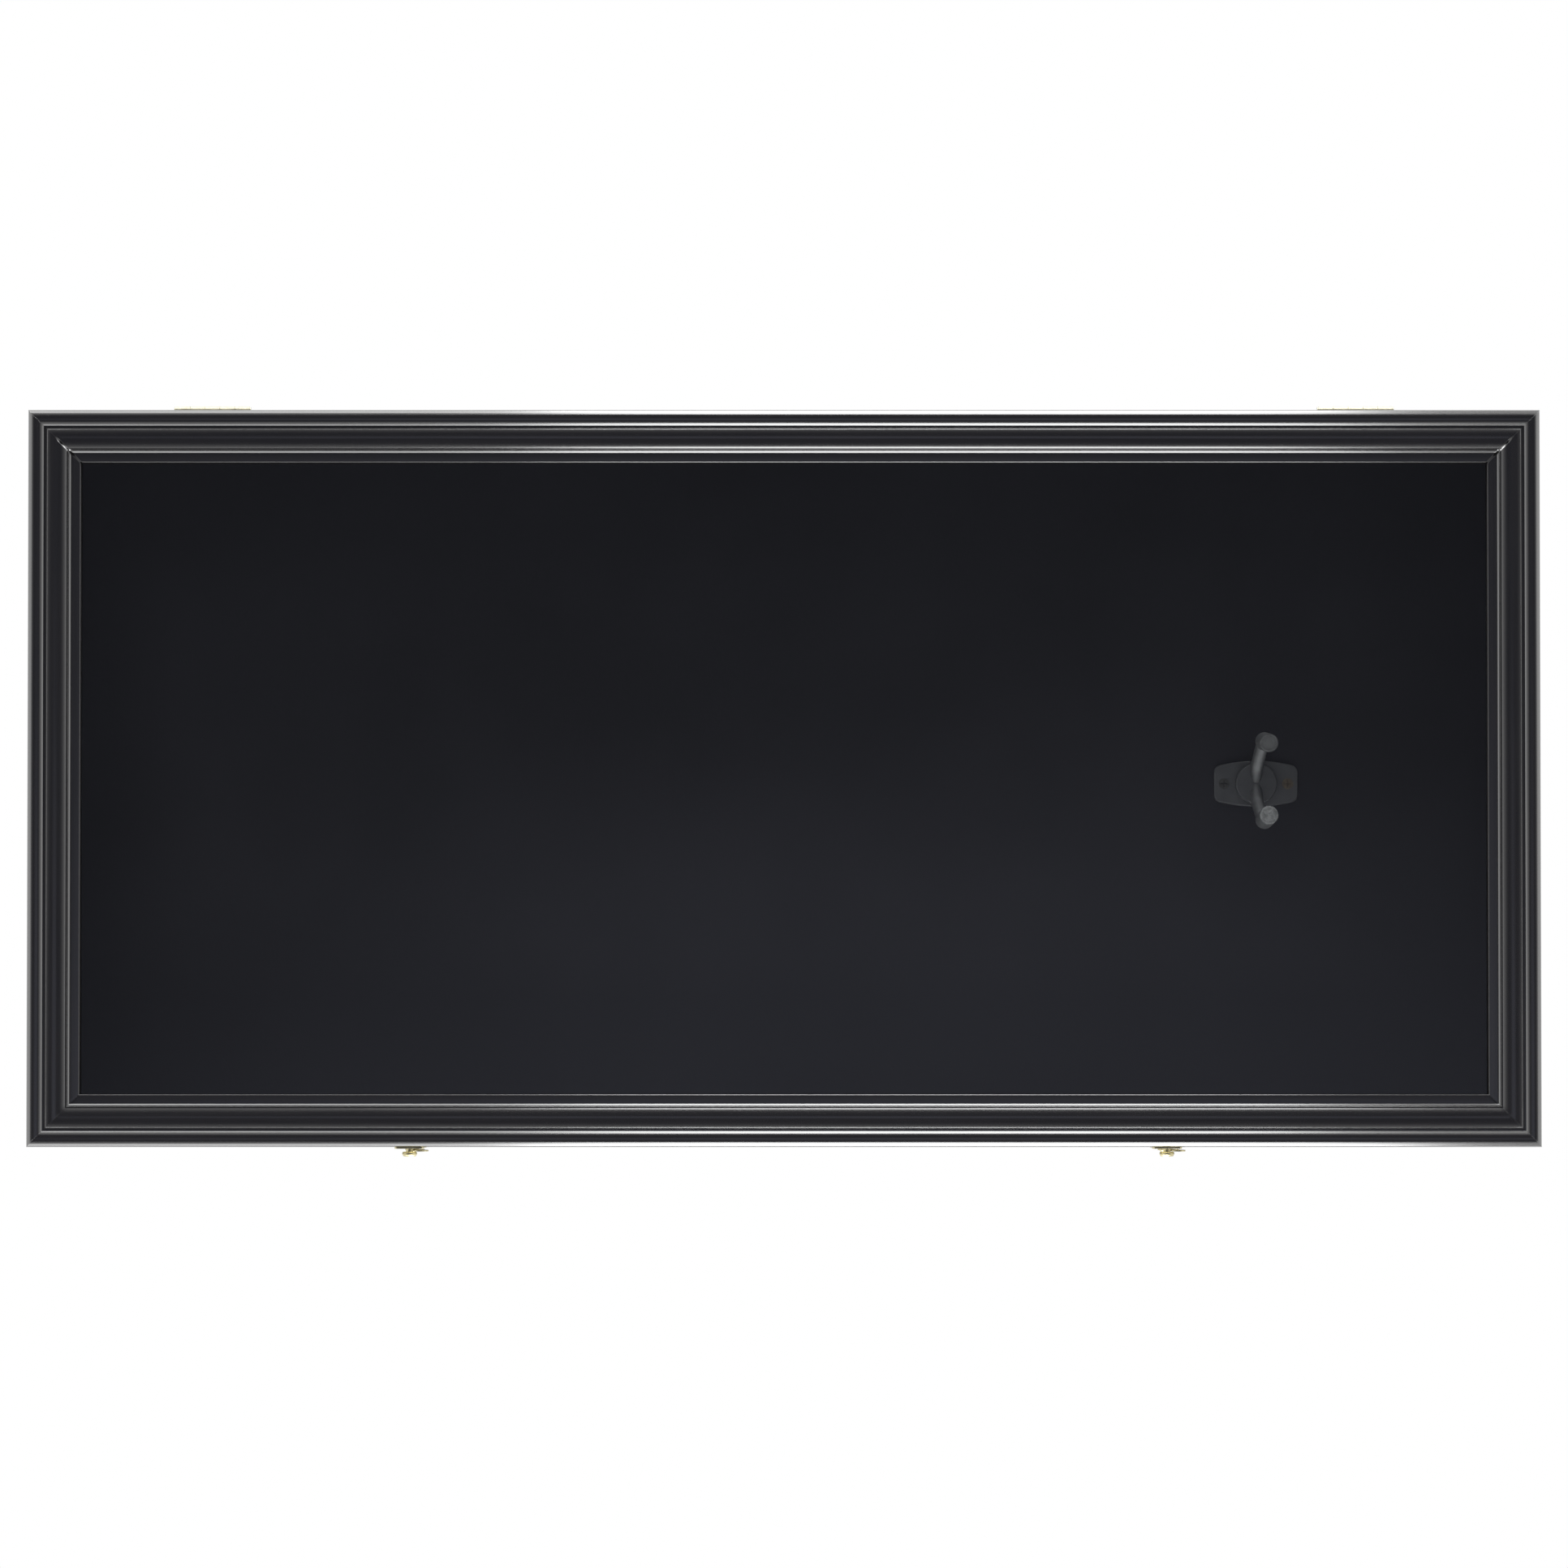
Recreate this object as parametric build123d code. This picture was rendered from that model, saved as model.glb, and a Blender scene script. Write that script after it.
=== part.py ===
from build123d import *
from collections import namedtuple
import math
import os

# A wall-hung display case for one guitar, seen as it hangs: X runs along its long side, Z is up,
# and the front faces -Y. The origin is the middle of the flat back, which lies against the wall.

# Whole case
CASE_WIDTH = 1219.0
CASE_HEIGHT = 594.0
CASE_DEPTH = 152.0

# Box: four mitred boards, a rear panel let into them and a felt lining glued to the panel
WALL = 15.0
PANEL_THICK = 9.0
PANEL_SEAT = 7.0
PANEL_CLEARANCE = 0.3
FELT_THICK = 2.0
FELT_CLEARANCE = 0.2

# Door: a picture frame of moulded rails around a clear panel
DOOR_THICK = 22.0
BUMPER_THICK = 1.0
BUMPER_AIR = 0.3
BUMPER_RADIUS = 4.5
BUMPER_FROM_END = 40.0

# Moulding, from the outer edge inwards
EDGE_ROUND = 6.4
BEAD_WIDTH = 13.0
BEAD_ROUND = 8.0
BEAD_SLOPE_START = 18.0
BEAD_SLOPE_END = 47.0
GROOVE_WIDTH = 1.3
GROOVE_DEPTH = 4.0
ARRIS_WIDTH = 1.7
ARRIS_RISE = 0.55
COVE_WIDTH = 15.4
COVE_DROP = 3.6
COVE_DEPTH = 1.8
QUIRK_WIDTH = 0.5
QUIRK_DEPTH = 0.6
INNER_BEAD_WIDTH = 2.9
INNER_BEAD_ROUND = 0.6
LIP_WIDTH = 7.5
LIP_DROP = 6.4
LIP_ROUND = 0.9

# Clear panel and the strips that hold it in the rails' rear rebate
REBATE_WIDTH = 8.0
REBATE_DEPTH = 9.0
GLAZING_THICK = 3.0
GLAZING_CLEARANCE = 1.0
STRIP_WIDTH = 7.0
STRIP_SET_IN = 0.8
STRIP_CHAMFER = 3.0
PIN_RADIUS = 0.6
PIN_LENGTH = 13.0
PIN_FROM_END = 90.0
LONG_PIN_COUNT = 4
SHORT_PIN_COUNT = 3

# Hinges
HINGE_FROM_END = 146.7
HINGE_LENGTH = 60.0
LEAF_WIDTH = 16.0
LEAF_THICK = 1.5
LEAF_CLEARANCE = 0.1
KNUCKLE_RADIUS = 3.0
KNUCKLE_COUNT = 5
KNUCKLE_GAP = 0.3
KNUCKLE_AIR = 0.4
HINGE_PIN_RADIUS = 1.25
HINGE_PIN_PLAY = 0.08
HINGE_PIN_HEAD = 0.9
HINGE_PIN_ROUND = 0.5
HINGE_SCREW_PITCH = 21.0
HINGE_SCREW_INSET = 9.5

# Latches: a headed knob on the door and a swinging hook on the box
LATCH_FROM_LEFT = 308.0
LATCH_FROM_RIGHT = 301.1
PLATE_LENGTH = 23.5
DOOR_PLATE_WIDTH = 14.0
CASE_PLATE_WIDTH = 18.0
PLATE_THICK = 1.4
PLATE_CORNER = 2.5
KNOB_REACH = 11.0
PIVOT_REACH = 14.0
KNOB_NECK_RADIUS = 3.0
KNOB_RADIUS = 6.0
KNOB_DEPTH = 3.6
KNOB_ROUND = 0.7
KNOB_AIR = 0.4
HOOK_THICK = 1.1
HOOK_AIR = 1.2
HOOK_ARM_WIDTH = 8.0
HOOK_EYE_RADIUS = 5.5
HOOK_HEAD_RADIUS = 6.5
HOOK_MOUTH_PLAY = 0.4
HOOK_EAR_RADIUS = 3.0
HOOK_REST_ANGLE = 20.0
PIVOT_RADIUS = 2.5
PIVOT_PLAY = 0.08
PIVOT_HEAD_RADIUS = 4.2
PIVOT_HEAD_DEPTH = 1.4
PIVOT_SPACER_AIR = 0.1
LATCH_SCREW_SPACING = 16.5

# Hanger: a plate screwed through the lining, and a yoke whose boss turns on it
HANGER_FROM_END = 216.5
HANGER_Z = 0.0
BASE_LENGTH = 69.5
BASE_HEIGHT = 38.0
BASE_END_HEIGHT = 28.5
BASE_CORNER = 6.0
BASE_THICK = 4.0
BASE_EDGE = 1.0
HANGER_SCREW_SPACING = 53.0
BOSS_RADIUS = 17.3
BOSS_HEIGHT = 6.0
BOSS_EDGE = 1.5
BOSS_AIR = 0.3
STEM_RADIUS = 6.0
STEM_PLAY = 0.08
STEM_AIR = 0.4
ARM_RADIUS = 5.2
ARM_START_FORWARD = 4.4
ARM_BEND_OUT = 14.5
ARM_BEND_FORWARD = 12.1
ARM_BEND_RADIUS = 22.0
ARM_ELBOW_OUT = 32.8
ARM_ELBOW_FORWARD = 66.0
ARM_ELBOW_RADIUS = 40.0
ARM_TIP_OUT = 29.4
ARM_TIP_ROOM = 12.0
SLEEVE_RADIUS = 7.5
SLEEVE_LENGTH = 35.0
CAP_THICK = 3.0
CAP_EDGE = 0.9
CAP_DISH = 0.5
CAP_RIM = 1.7

# Wall fittings let into the rear panel
KEYHOLE_FROM_END = 109.5
KEYHOLE_FROM_TOP = 67.0
KEYHOLE_PLATE_WIDTH = 18.0
KEYHOLE_PLATE_HEIGHT = 56.0
KEYHOLE_PLATE_THICK = 2.0
KEYHOLE_ENTRY_RADIUS = 5.0
KEYHOLE_SLOT_WIDTH = 5.0
KEYHOLE_SLOT_RISE = 14.0
KEYHOLE_POCKET_WIDTH = 12.0
KEYHOLE_POCKET_DEPTH = 4.8
KEYHOLE_SCREW_SPACING = 45.0

# Screws: head radius, shank radius, whole length
Screw = namedtuple("Screw", "head shank length")
HINGE_SCREW = Screw(2.7, 1.3, 12.0)
LATCH_SCREW = Screw(2.0, 1.0, 10.0)
HANGER_SCREW = Screw(4.6, 2.2, 14.0)
PANEL_SCREW = Screw(3.2, 1.6, 25.0)
KEYHOLE_SCREW = Screw(2.4, 1.2, 6.5)
SCREW_PLAY = 0.05
SCREW_END_ROOM = 0.5
RECESS_SHARE = 0.6
SCREW_POINT_SHARE = 0.15
RECESS_WIDTH = 0.35
RECESS_DEPTH = 0.55
LONG_PANEL_SCREW_COUNT = 4
SHORT_PANEL_SCREW_COUNT = 2
PANEL_SCREW_FROM_END = 70.0

# Sizes that follow from the ones above
DOOR_GAP = BUMPER_THICK + BUMPER_AIR
BOX_DEPTH = CASE_DEPTH - DOOR_THICK - DOOR_GAP
DOOR_BACK_Y = -(BOX_DEPTH + DOOR_GAP)
JOINT_Y = -(BOX_DEPTH + DOOR_GAP / 2)
FELT_Y = -(PANEL_THICK + FELT_THICK)
GROOVE_END = BEAD_WIDTH + GROOVE_WIDTH
COVE_START = GROOVE_END + ARRIS_WIDTH
COVE_END = COVE_START + COVE_WIDTH
QUIRK_END = COVE_END + QUIRK_WIDTH
INNER_BEAD_END = QUIRK_END + INNER_BEAD_WIDTH
RAIL_WIDTH = INNER_BEAD_END + LIP_WIDTH
REBATE_START = RAIL_WIDTH - REBATE_WIDTH
HINGE_AXIS_Z = CASE_HEIGHT / 2 - LEAF_THICK + KNUCKLE_RADIUS
HOOK_REACH = KNOB_REACH + PIVOT_REACH
HOOK_TOP = PLATE_THICK + HOOK_AIR
HOOK_UNDER = HOOK_TOP + HOOK_THICK
KNOB_TOP = HOOK_UNDER + KNOB_AIR
KEYHOLE_CENTRE_X = CASE_WIDTH / 2 - KEYHOLE_FROM_END
KEYHOLE_Z = CASE_HEIGHT / 2 - KEYHOLE_FROM_TOP
GLAZING_BACK_Y = DOOR_BACK_Y - REBATE_DEPTH + GLAZING_THICK
HANGER_X = CASE_WIDTH / 2 - HANGER_FROM_END
ARM_TIP_FORWARD = FELT_Y - GLAZING_BACK_Y - ARM_TIP_ROOM - CAP_THICK

SIDES = ("top", "bottom", "left", "right")
HINGES = {"left": HINGE_FROM_END - CASE_WIDTH / 2, "right": CASE_WIDTH / 2 - HINGE_FROM_END}
LATCHES = {"left": LATCH_FROM_LEFT - CASE_WIDTH / 2, "right": CASE_WIDTH / 2 - LATCH_FROM_RIGHT}
FACING_FRONT = (90, 0, 0)
FACING_BACK = (-90, 0, 0)
FACING_DOWN = (180, 0, 0)


def side_length(side):
    """Outer length of the case along one of its four sides."""
    return CASE_WIDTH if side in ("top", "bottom") else CASE_HEIGHT


def on_side(side, y):
    """Plane at the outer edge of a side: x along it, y inwards, z to the front from depth y."""
    half_width, half_height = CASE_WIDTH / 2, CASE_HEIGHT / 2
    corner, along = {
        "top": ((0, y, half_height), (-1, 0, 0)),
        "bottom": ((0, y, -half_height), (1, 0, 0)),
        "left": ((-half_width, y, 0), (0, 0, -1)),
        "right": ((half_width, y, 0), (0, 0, 1)),
    }[side]
    return Plane(origin=corner, x_dir=along, z_dir=(0, -1, 0))


def mitred_bar(profile, length, width, depth):
    """A bar of one section whose ends are cut at 45 degrees so that its inner side is shorter."""
    half = length / 2
    corners = [(-half, 0), (half, 0), (half - width, width), (width - half, width)]
    outline = make_face(Polyline(*corners, close=True))
    return extrude(profile, amount=half, both=True) & extrude(outline, depth)


def section(points):
    """A straight-sided section in the plane across a bar."""
    return Plane.YZ * make_face(Polyline(*points, close=True))


def spread(count, length, from_end):
    """Places of evenly spaced fasteners along a bar, the outer ones a distance from its ends."""
    half = length / 2 - from_end
    return [-half + 2 * half * i / (count - 1) for i in range(count)]


def screw(kind, play=0.0):
    """A countersunk screw with its head's face at the origin and its point downwards.

    With play it is the hole that the screw goes in.
    """
    head, shank = kind.head + play, kind.shank + play
    cone = head - shank
    end = SCREW_END_ROOM if play else 0.0
    body = Pos(0, 0, -cone / 2) * Cone(shank, head, cone)
    straight = kind.length - cone - kind.shank + end
    body += Pos(0, 0, -cone - straight / 2) * Cylinder(shank, straight)
    body += Pos(0, 0, -cone - straight - shank / 2) * Cone(SCREW_POINT_SHARE * shank, shank, shank)
    if not play:
        across, slit, deep = 2 * RECESS_SHARE * head, RECESS_WIDTH * shank, RECESS_DEPTH * cone
        body -= Pos(0, 0, -deep / 2) * Box(across, slit, deep)
        body -= Pos(0, 0, -deep / 2) * Box(slit, across, deep)
    return body


def screws(kind, places):
    """A group of identical screws, each its own solid."""
    return Compound(children=[place * screw(kind) for place in places])


def with_holes(body, kind, places):
    """A piece with a hole for each of a group of screws."""
    for place in places:
        body -= place * screw(kind, SCREW_PLAY)
    return body


def hinge_screw_places(toward):
    """Places of the hinge screws: toward is 1 for the box's leaves and -1 for the door's."""
    y = JOINT_Y + toward * HINGE_SCREW_INSET
    steps = (-HINGE_SCREW_PITCH, 0.0, HINGE_SCREW_PITCH)
    top = CASE_HEIGHT / 2
    return {name: [Location((x + step, y, top)) for step in steps] for name, x in HINGES.items()}


def latch_frame(name, reach):
    """Frame on the underside, z downwards and y to the front, reach in front of the joint line."""
    return Location((LATCHES[name], JOINT_Y - reach, -CASE_HEIGHT / 2), FACING_DOWN)


def latch_screw_places(name, reach):
    """Places of the two screws of one latch plate."""
    frame = latch_frame(name, reach)
    steps = (-LATCH_SCREW_SPACING / 2, LATCH_SCREW_SPACING / 2)
    return [frame * Pos(step, 0, PLATE_THICK) for step in steps]


def hanger_screw_places():
    """Places of the two screws of the hanger's base."""
    steps = (-HANGER_SCREW_SPACING / 2, HANGER_SCREW_SPACING / 2)
    front = FELT_Y - BASE_THICK
    return [Location((HANGER_X + step, front, HANGER_Z), FACING_FRONT) for step in steps]


def panel_screw_places():
    """Places of the screws that hold the rear panel, on every side of the case."""
    places = {}
    for side in SIDES:
        count = LONG_PANEL_SCREW_COUNT if side in ("top", "bottom") else SHORT_PANEL_SCREW_COUNT
        line = spread(count, side_length(side), PANEL_SCREW_FROM_END)
        frame = on_side(side, 0.0).location
        across = WALL - PANEL_SEAT / 2
        places[side] = [frame * Location((along, across, 0), FACING_DOWN) for along in line]
    return places


def keyhole_screw_places():
    """Places of the screws of the wall fittings, two for each."""
    steps = (-KEYHOLE_SCREW_SPACING / 2, KEYHOLE_SCREW_SPACING / 2)
    centres = (-KEYHOLE_CENTRE_X, KEYHOLE_CENTRE_X)
    return [Location((x, 0, KEYHOLE_Z + step), FACING_BACK) for x in centres for step in steps]


def hinge_line(x):
    """Frame on the hinges' axis at one place along the case, z along the axis."""
    return Location((x, JOINT_Y, HINGE_AXIS_Z), (0, 90, 0))


def hinge_relief():
    """Room around both hinges' knuckles in the wood of the box and the door."""
    across = KNUCKLE_RADIUS + KNUCKLE_AIR
    length = HINGE_LENGTH + 2 * (HINGE_PIN_HEAD + KNUCKLE_GAP)
    return Compound(children=[hinge_line(x) * Cylinder(across, length) for x in HINGES.values()])


def hinge_mortises(toward):
    """Shallow seats for the hinge leaves in the top of the box or of the door."""
    length, width = HINGE_LENGTH + 2 * LEAF_CLEARANCE, LEAF_WIDTH + LEAF_CLEARANCE
    y = JOINT_Y + toward * width / 2
    z = CASE_HEIGHT / 2 - LEAF_THICK / 2
    return Compound(children=[Pos(x, y, z) * Box(length, width, LEAF_THICK) for x in HINGES.values()])


def box_board(side):
    """One mitred board of the box, with a rebate at the back for the rear panel."""
    seat = WALL - PANEL_SEAT
    outline = [
        (0, 0),
        (seat, 0),
        (seat, PANEL_THICK),
        (WALL, PANEL_THICK),
        (WALL, BOX_DEPTH),
        (0, BOX_DEPTH),
    ]
    bar = mitred_bar(section(outline), side_length(side), WALL, BOX_DEPTH)
    board = on_side(side, 0.0).location * bar
    board = with_holes(board, PANEL_SCREW, panel_screw_places()[side])
    if side == "top":
        board = board - hinge_mortises(1) - hinge_relief()
        for places in hinge_screw_places(1).values():
            board = with_holes(board, HINGE_SCREW, places)
    if side == "bottom":
        for name in LATCHES:
            board = with_holes(board, LATCH_SCREW, latch_screw_places(name, -PIVOT_REACH))
    return board


def lining_size(thickness, inset, clearance):
    """A flat sheet that fills the case to an inset from its outside, less a clearance."""
    return Box(CASE_WIDTH - 2 * (inset + clearance), thickness, CASE_HEIGHT - 2 * (inset + clearance))


def back_panel():
    """Rear panel, flush with the back of the boards, with pockets for the wall fittings."""
    panel = Pos(0, -PANEL_THICK / 2, 0) * lining_size(PANEL_THICK, WALL - PANEL_SEAT, PANEL_CLEARANCE)
    for places in panel_screw_places().values():
        panel = with_holes(panel, PANEL_SCREW, places)
    panel = with_holes(panel, HANGER_SCREW, hanger_screw_places())
    panel = with_holes(panel, KEYHOLE_SCREW, keyhole_screw_places())
    for x in (-KEYHOLE_CENTRE_X, KEYHOLE_CENTRE_X):
        panel -= Pos(x, -KEYHOLE_PLATE_THICK / 2, KEYHOLE_Z) * keyhole_outline(LEAF_CLEARANCE)
        rise = KEYHOLE_SLOT_RISE + 2 * KEYHOLE_ENTRY_RADIUS + KEYHOLE_SLOT_WIDTH
        middle = -KEYHOLE_PLATE_THICK - KEYHOLE_POCKET_DEPTH / 2
        panel -= Pos(x, middle, KEYHOLE_Z) * Box(KEYHOLE_POCKET_WIDTH, KEYHOLE_POCKET_DEPTH, rise)
    return panel


def felt_lining():
    """Felt glued to the front of the rear panel, pierced by the hanger's screws."""
    felt = Pos(0, FELT_Y + FELT_THICK / 2, 0) * lining_size(FELT_THICK, WALL, FELT_CLEARANCE)
    return with_holes(felt, HANGER_SCREW, hanger_screw_places())


def keyhole_outline(clearance):
    """The round-ended blank of a wall fitting, standing on its long side."""
    width, height = KEYHOLE_PLATE_WIDTH + 2 * clearance, KEYHOLE_PLATE_HEIGHT + 2 * clearance
    blank = extrude(SlotOverall(height, width), KEYHOLE_PLATE_THICK / 2, both=True)
    return Location((0, 0, 0), (90, 0, 0)) * Location((0, 0, 0), (0, 0, 90)) * blank


def keyhole_plate(x):
    """Wall fitting: a flush plate with a round entry and a narrower slot rising from it."""
    plate = Pos(x, -KEYHOLE_PLATE_THICK / 2, KEYHOLE_Z) * keyhole_outline(0.0)
    entry_z = KEYHOLE_Z - KEYHOLE_SLOT_RISE / 2
    thick = 2 * KEYHOLE_PLATE_THICK
    plate -= Location((x, 0, entry_z), FACING_BACK) * Cylinder(KEYHOLE_ENTRY_RADIUS, 2 * thick)
    plate -= Pos(x, 0, KEYHOLE_Z) * Box(KEYHOLE_SLOT_WIDTH, thick, KEYHOLE_SLOT_RISE)
    top = Location((x, 0, entry_z + KEYHOLE_SLOT_RISE), FACING_BACK)
    plate -= top * Cylinder(KEYHOLE_SLOT_WIDTH / 2, 2 * thick)
    return with_holes(plate, KEYHOLE_SCREW, keyhole_screw_places())


def door_bumpers():
    """Four soft discs on the front edges of the side boards, which the door closes on."""
    x, z = CASE_WIDTH / 2 - WALL / 2, CASE_HEIGHT / 2 - BUMPER_FROM_END
    disc = Cylinder(BUMPER_RADIUS, BUMPER_THICK)
    y = -(BOX_DEPTH + BUMPER_THICK / 2)
    corners = [(x, z), (x, -z), (-x, z), (-x, -z)]
    return Compound(children=[Location((a, y, b), FACING_FRONT) * disc for a, b in corners])


def moulding_profile():
    """Section of a door rail: u inwards from the outer edge and h forwards from its back."""
    face, rim = DOOR_THICK, DOOR_THICK - COVE_DROP
    groove, lip = DOOR_THICK - GROOVE_DEPTH, DOOR_THICK - LIP_DROP
    slope_start, slope_end = math.radians(BEAD_SLOPE_START), math.radians(BEAD_SLOPE_END)
    slope_centre = BEAD_WIDTH - BEAD_ROUND * math.sin(slope_end)
    slope_low = face - BEAD_ROUND * (math.cos(slope_start) - math.cos(slope_end))
    slope_turn = BEAD_SLOPE_START - BEAD_SLOPE_END
    quirk, half = rim - QUIRK_DEPTH, INNER_BEAD_WIDTH / 2
    crest = (QUIRK_END + half, rim + half - INNER_BEAD_ROUND * math.sqrt(2))
    side = INNER_BEAD_ROUND / math.sqrt(2)
    with BuildSketch(Plane.YZ) as sketch:
        with BuildLine():
            Line((0, 0), (0, face - EDGE_ROUND))
            CenterArc((EDGE_ROUND, face - EDGE_ROUND), EDGE_ROUND, 90, 90)
            Line((EDGE_ROUND, face), (slope_centre + BEAD_ROUND * math.sin(slope_start), face))
            slope_middle = (slope_centre, face - BEAD_ROUND * math.cos(slope_start))
            CenterArc(slope_middle, BEAD_ROUND, 90 - BEAD_SLOPE_START, slope_turn)
            Line((BEAD_WIDTH, slope_low), (BEAD_WIDTH, groove))
            Line((BEAD_WIDTH, groove), (GROOVE_END, groove))
            Line((GROOVE_END, groove), (GROOVE_END, rim))
            arris_top = ((GROOVE_END + COVE_START) / 2, rim + ARRIS_RISE)
            ThreePointArc((GROOVE_END, rim), arris_top, (COVE_START, rim))
            cove_floor = ((COVE_START + COVE_END) / 2, rim - COVE_DEPTH)
            ThreePointArc((COVE_START, rim), cove_floor, (COVE_END, rim))
            Line((COVE_END, rim), (COVE_END, quirk))
            Line((COVE_END, quirk), (QUIRK_END, quirk))
            Line((QUIRK_END, quirk), (QUIRK_END, rim))
            Line((QUIRK_END, rim), (crest[0] - side, crest[1] + side))
            CenterArc(crest, INNER_BEAD_ROUND, 45, 90)
            Line((crest[0] + side, crest[1] + side), (INNER_BEAD_END, rim))
            Line((INNER_BEAD_END, rim), (INNER_BEAD_END, lip))
            Line((INNER_BEAD_END, lip), (RAIL_WIDTH - LIP_ROUND, lip))
            CenterArc((RAIL_WIDTH - LIP_ROUND, lip - LIP_ROUND), LIP_ROUND, 0, 90)
            Line((RAIL_WIDTH, lip - LIP_ROUND), (RAIL_WIDTH, REBATE_DEPTH))
            Line((RAIL_WIDTH, REBATE_DEPTH), (REBATE_START, REBATE_DEPTH))
            Line((REBATE_START, REBATE_DEPTH), (REBATE_START, 0))
            Line((REBATE_START, 0), (0, 0))
        make_face()
    return sketch.sketch


def strip_pin_places(side):
    """Places of the pins that hold a strip, in the frame of its side, pointing outwards."""
    count = LONG_PIN_COUNT if side in ("top", "bottom") else SHORT_PIN_COUNT
    height = (STRIP_SET_IN + REBATE_DEPTH - GLAZING_THICK) / 2
    inner = REBATE_START + STRIP_WIDTH
    frame = on_side(side, DOOR_BACK_Y).location
    line = spread(count, side_length(side), PIN_FROM_END)
    return [frame * Location((along, inner, height), FACING_BACK) for along in line]


def strip_pin(play=0.0):
    """A fine pin with its outer face at the origin, or the hole that it goes in."""
    length = PIN_LENGTH + play
    return Pos(0, 0, -length / 2) * Cylinder(PIN_RADIUS + play, length)


def door_rail(side):
    """One mitred moulded rail of the door."""
    bar = mitred_bar(moulding_profile(), side_length(side), RAIL_WIDTH, DOOR_THICK)
    rail = on_side(side, DOOR_BACK_Y).location * bar
    for place in strip_pin_places(side):
        rail -= place * strip_pin(SCREW_PLAY)
    if side == "top":
        rail = rail - hinge_mortises(-1) - hinge_relief()
        for places in hinge_screw_places(-1).values():
            rail = with_holes(rail, HINGE_SCREW, places)
    if side == "bottom":
        for name in LATCHES:
            rail = with_holes(rail, LATCH_SCREW, latch_screw_places(name, KNOB_REACH))
    return rail


def clear_panel():
    """Clear panel in the rebate, against the back of the rails' lip."""
    sheet = lining_size(GLAZING_THICK, REBATE_START, GLAZING_CLEARANCE)
    return Pos(0, GLAZING_BACK_Y - GLAZING_THICK / 2, 0) * sheet


def glazing_strip(side):
    """One mitred strip that holds the clear panel in from behind, with its inner corner cut off."""
    inner, front = REBATE_START + STRIP_WIDTH, REBATE_DEPTH - GLAZING_THICK
    outline = [
        (REBATE_START, STRIP_SET_IN),
        (inner - STRIP_CHAMFER, STRIP_SET_IN),
        (inner, STRIP_SET_IN + STRIP_CHAMFER / 2),
        (inner, front),
        (REBATE_START, front),
    ]
    bar = mitred_bar(section(outline), side_length(side), RAIL_WIDTH, DOOR_THICK)
    strip = on_side(side, DOOR_BACK_Y).location * bar
    for place in strip_pin_places(side):
        strip -= place * strip_pin(SCREW_PLAY)
    return strip


def strip_pins():
    """The pins of all four strips."""
    places = [place for side in SIDES for place in strip_pin_places(side)]
    return Compound(children=[place * strip_pin() for place in places])


def hinge_leaf(name, toward):
    """One leaf with its knuckles: toward is 1 for the box's leaf and -1 for the door's."""
    x, top = HINGES[name], CASE_HEIGHT / 2
    pitch = HINGE_LENGTH / KNUCKLE_COUNT
    middle = (x, JOINT_Y + toward * LEAF_WIDTH / 2, top - LEAF_THICK / 2)
    leaf = Pos(*middle) * Box(HINGE_LENGTH, LEAF_WIDTH, LEAF_THICK)
    own = 0 if toward > 0 else 1
    for i in range(KNUCKLE_COUNT):
        centre = x - HINGE_LENGTH / 2 + (i + 0.5) * pitch
        if i % 2 == own:
            leaf += hinge_line(centre) * Cylinder(KNUCKLE_RADIUS, pitch - KNUCKLE_GAP)
        else:
            reach = KNUCKLE_RADIUS + KNUCKLE_AIR
            leaf -= Pos(centre, JOINT_Y, top) * Box(pitch + KNUCKLE_GAP, 2 * reach, 2 * LEAF_THICK)
    leaf -= hinge_line(x) * Cylinder(HINGE_PIN_RADIUS + HINGE_PIN_PLAY, HINGE_LENGTH)
    return with_holes(leaf, HINGE_SCREW, hinge_screw_places(toward)[name])


def hinge_pin(name):
    """The hinge's pin, with a low domed head at each end."""
    pin = Cylinder(HINGE_PIN_RADIUS, HINGE_LENGTH)
    radius = KNUCKLE_RADIUS - KNUCKLE_GAP
    for end in (-1, 1):
        head = Pos(0, 0, end * (HINGE_LENGTH + HINGE_PIN_HEAD) / 2) * Cylinder(radius, HINGE_PIN_HEAD)
        rim = head.edges().filter_by(GeomType.CIRCLE).sort_by(Axis.Z)[-1 if end > 0 else 0]
        pin += fillet(rim, HINGE_PIN_ROUND)
    return hinge_line(HINGES[name]) * pin


def latch_plate(name, reach, width):
    """A round-cornered plate on the underside, screwed to the box or to the door."""
    blank = RectangleRounded(PLATE_LENGTH, width, PLATE_CORNER)
    plate = latch_frame(name, reach) * extrude(blank, PLATE_THICK)
    return with_holes(plate, LATCH_SCREW, latch_screw_places(name, reach))


def latch_knob(name):
    """A turned knob riveted to the door's plate, with a narrow neck under a wide head."""
    low, high, edge = KNOB_TOP, KNOB_TOP + KNOB_DEPTH, KNOB_ROUND
    waist = KNOB_RADIUS - edge
    points = [(0, PLATE_THICK), (KNOB_NECK_RADIUS, PLATE_THICK), (KNOB_NECK_RADIUS, low), (waist, low)]
    with BuildSketch(Plane.XZ) as sketch:
        with BuildLine():
            Polyline(*points)
            ThreePointArc((waist, low), (KNOB_RADIUS, (low + high - edge) / 2), (waist, high - edge))
            CenterArc((waist - edge, high - edge), edge, 0, 90)
            Line((waist - edge, high), (0, high - edge))
            Line((0, high - edge), (0, PLATE_THICK))
        make_face()
    return latch_frame(name, KNOB_REACH) * revolve(sketch.sketch, Axis.Z)


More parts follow.
